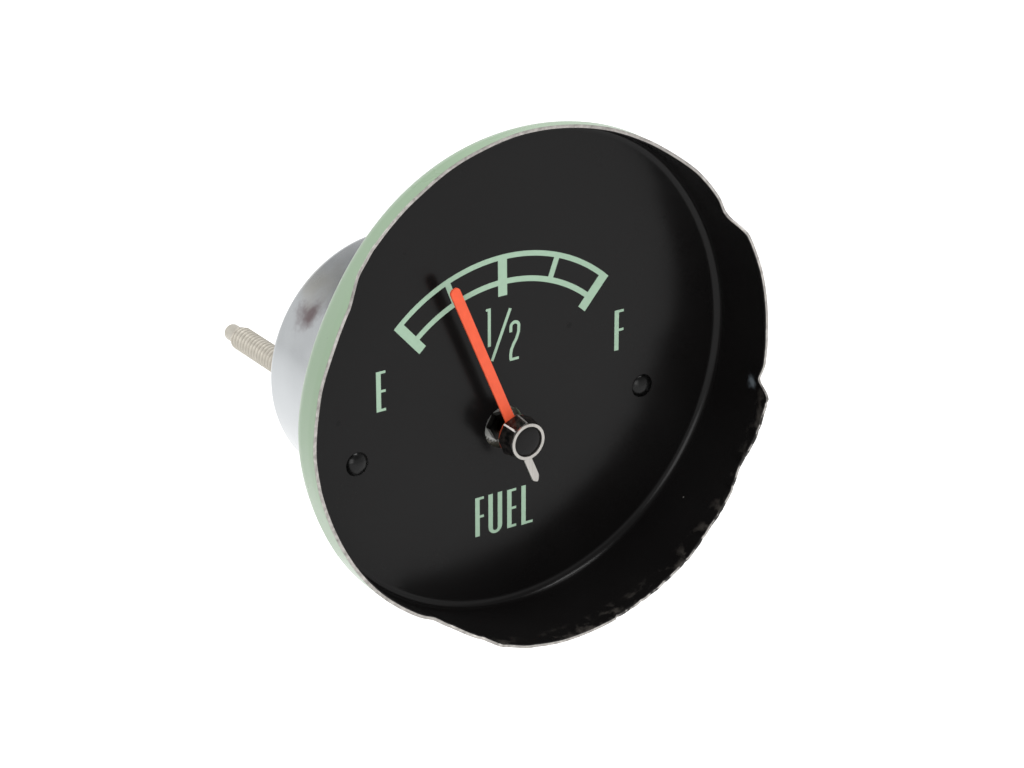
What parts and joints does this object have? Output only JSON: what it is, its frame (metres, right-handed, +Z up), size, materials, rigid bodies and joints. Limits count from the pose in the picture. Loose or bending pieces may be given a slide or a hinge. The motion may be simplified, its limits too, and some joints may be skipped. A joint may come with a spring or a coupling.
{
  "type": "fuel gauge",
  "caption": "Electric fuel gauge with no bezel or glass: black dial in a ragged green cup, orange pointer on a two-coil movement, and a bright rear can with terminal studs.",
  "frame": {"origin": "on the pointer's spindle axis, midway between the terminal studs, in the plane where they leave their retainers", "axes": "+Z up and +X right as the dial is read; the dial faces -Y and the terminal studs point to +Y; the spindle lies along Y"},
  "size_m": [0.0946, 0.0862, 0.0946],
  "materials": {
    "cup_paint": "green paint outside, black satin paint inside, bare cut edge",
    "rivet_black": "black gloss",
    "can_plate": "bright plated steel",
    "pointer_orange": "orange paint",
    "hub_black": "gloss",
    "bright_aluminium": "satin",
    "steel": "plated",
    "brass": "turned",
    "soft_iron": "dull",
    "enamelled_wire": "enamelled copper",
    "bobbin_moulding": "moulded phenolic",
    "fibre": "vulcanised fibre",
    "sleeving": "matt"
  },
  "bodies": {
    "housing": {"dial_cup": "cup_paint", "dial_rivets": "rivet_black", "rear_can": "can_plate", "front_bridge": "steel", "front_bearing": "brass", "bearing_lock_washer": "steel", "bearing_nut": "steel", "stop_pins": "steel", "bridge_pillars": "brass", "bridge_screws": "steel", "movement_frame": "steel", "coil_cores": "soft_iron", "coil_bobbins": "bobbin_moulding", "empty_coil": "enamelled_wire", "full_coil": "enamelled_wire", "rear_bearing": "brass", "rear_bearing_nut": "brass", "coil_leads": "sleeving", "frame_spacers": "brass", "frame_screws": "steel", "screw_lock_washers": "steel", "terminal_studs": "steel", "terminal_tags": "brass", "inner_insulators": "fibre", "outer_insulators": "fibre", "stud_retainers": "steel"},
    "pointer": {"pointer_blade": "pointer_orange", "pointer_hub": "hub_black", "hub_ring": "bright_aluminium", "hub_cap": "hub_black", "pointer_bush": "brass", "spindle": "steel", "stop_arm": "brass", "damping_disc": "bright_aluminium", "counterweight": "brass", "armature": "soft_iron"}
  },
  "joints": [
    {"name": "pointer_sweep", "type": "hinge", "parent": "housing", "child": "pointer", "pos_m": [0, 0, 0], "axis": [0, 1, 0], "range_deg": [-23, 69]}
  ]
}
